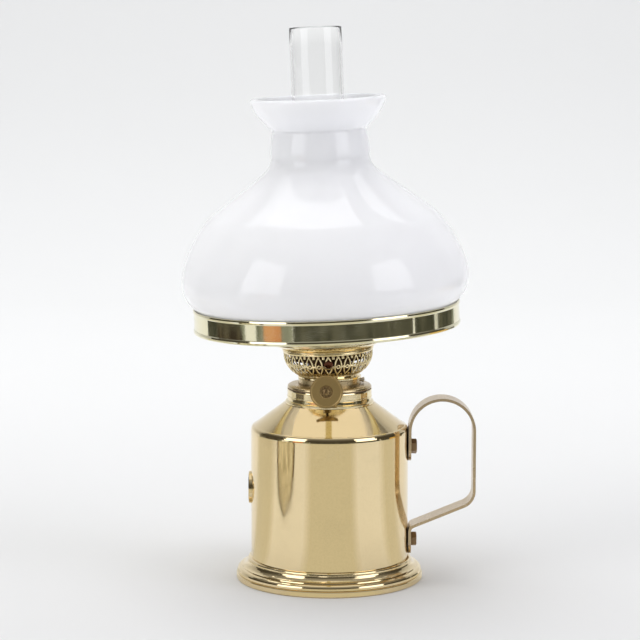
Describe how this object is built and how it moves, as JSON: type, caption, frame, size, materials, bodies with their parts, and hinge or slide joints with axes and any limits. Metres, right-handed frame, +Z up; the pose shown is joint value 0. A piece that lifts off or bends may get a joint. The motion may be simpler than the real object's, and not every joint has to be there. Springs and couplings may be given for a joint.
{
  "type": "kerosene table lamp",
  "caption": "Brass table lamp for kerosene with a round wick burner, side handle, clear chimney and an opal glass shade carried on a ring.",
  "frame": {"origin": "middle of the foot's underside, on the table", "axes": "+Z up; +X towards the handle; -Y towards the wick knob"},
  "size_m": [0.1656, 0.1612, 0.3117],
  "materials": {
    "font_brass": "polished and lacquered pale brass, mirror-like",
    "base_brass": "plain spun brass, dull",
    "collar_brass": "turned and polished brass",
    "handle_brass": "satin brass strip with a light patina",
    "bolt_brass": "aged brass, satin",
    "gasket": "dark cork and rubber sealing ring",
    "burner_brass": "pressed brass, polished, slightly tarnished in the corners",
    "inner_brass": "plain drawn brass, dull",
    "wick_cotton": "woven white cotton, charred at its rim",
    "knob_brass": "aged satin brass",
    "gallery_brass": "pressed and perforated bright brass",
    "clear_glass": "clear drawn glass with a fire-polished rim",
    "arm_brass": "pressed brass strip, satin",
    "ring_brass": "polished pale brass with two bright lips",
    "opal_glass": "glossy white opal glass, slightly see-through at its neck"
  },
  "bodies": {
    "lamp_body": {"foot": "font_brass", "base_plate": "base_brass", "font_cylinder": "font_brass", "font_floor": "base_brass", "font_shoulder": "font_brass", "font_collar": "collar_brass", "badge": "font_brass", "handle": "handle_brass", "handle_bolts": "bolt_brass", "handle_bosses": "bolt_brass"},
    "gasket": {"burner_gasket": "gasket"},
    "burner": {"burner_base": "burner_brass", "burner_neck": "burner_brass", "wick_tube": "inner_brass", "air_tube": "inner_brass", "spindle_bush": "inner_brass", "gland_nut": "inner_brass", "gallery_catch": "burner_brass"},
    "wick_raiser": {"wick_spindle": "inner_brass", "claw_wheels": "inner_brass", "wick_knob": "knob_brass", "knob_rivet": "knob_brass"},
    "wick": {"wick": "wick_cotton"},
    "gallery": {"gallery_basket": "gallery_brass", "chimney_holder": "inner_brass", "gallery_rim": "gallery_brass"},
    "chimney": {"chimney": "clear_glass"},
    "shade_frame": {"shade_hub": "arm_brass", "shade_arm_1": "arm_brass", "shade_arm_2": "arm_brass", "shade_arm_3": "arm_brass", "arm_rivets": "arm_brass", "shade_ring": "ring_brass"},
    "shade": {"glass_shade": "opal_glass"}
  },
  "joints": [
    {"name": "burner_rise", "type": "slide", "parent": "lamp_body", "child": "gasket", "axis": [0, 0, 1], "range_m": [0, 0.0057]},
    {"name": "burner_turn", "type": "hinge", "parent": "gasket", "child": "burner", "pos_m": [0, 0, 0.109], "axis": [0, 0, 1], "range_deg": [0, 1440]},
    {"name": "knob_turn", "type": "hinge", "parent": "burner", "child": "wick_raiser", "pos_m": [-0.0019, -0.02, 0.1116], "axis": [0, 1, 0], "range_deg": [-97, 48]},
    {"name": "wick_lift", "type": "slide", "parent": "burner", "child": "wick", "axis": [0, 0, 1], "range_m": [-0.012, 0.006]},
    {"name": "gallery_lift", "type": "slide", "parent": "burner", "child": "gallery", "axis": [-0.0401, 0, 0.9992], "range_m": [0, 0.03]},
    {"name": "chimney_lift", "type": "slide", "parent": "gallery", "child": "chimney", "axis": [-0.0401, 0, 0.9992], "range_m": [0, 0.15]},
    {"name": "ring_lift", "type": "slide", "parent": "gallery", "child": "shade_frame", "axis": [-0.0401, 0, 0.9992], "range_m": [0, 0.03]},
    {"name": "shade_lift", "type": "slide", "parent": "shade_frame", "child": "shade", "axis": [-0.0401, 0, 0.9992], "range_m": [0, 0.15]}
  ],
  "couplings": [
    {"joint": "burner_rise", "follows": "burner_turn", "m_per_rad": 0.000223},
    {"joint": "wick_lift", "follows": "knob_turn", "m_per_rad": 0.007}
  ]
}
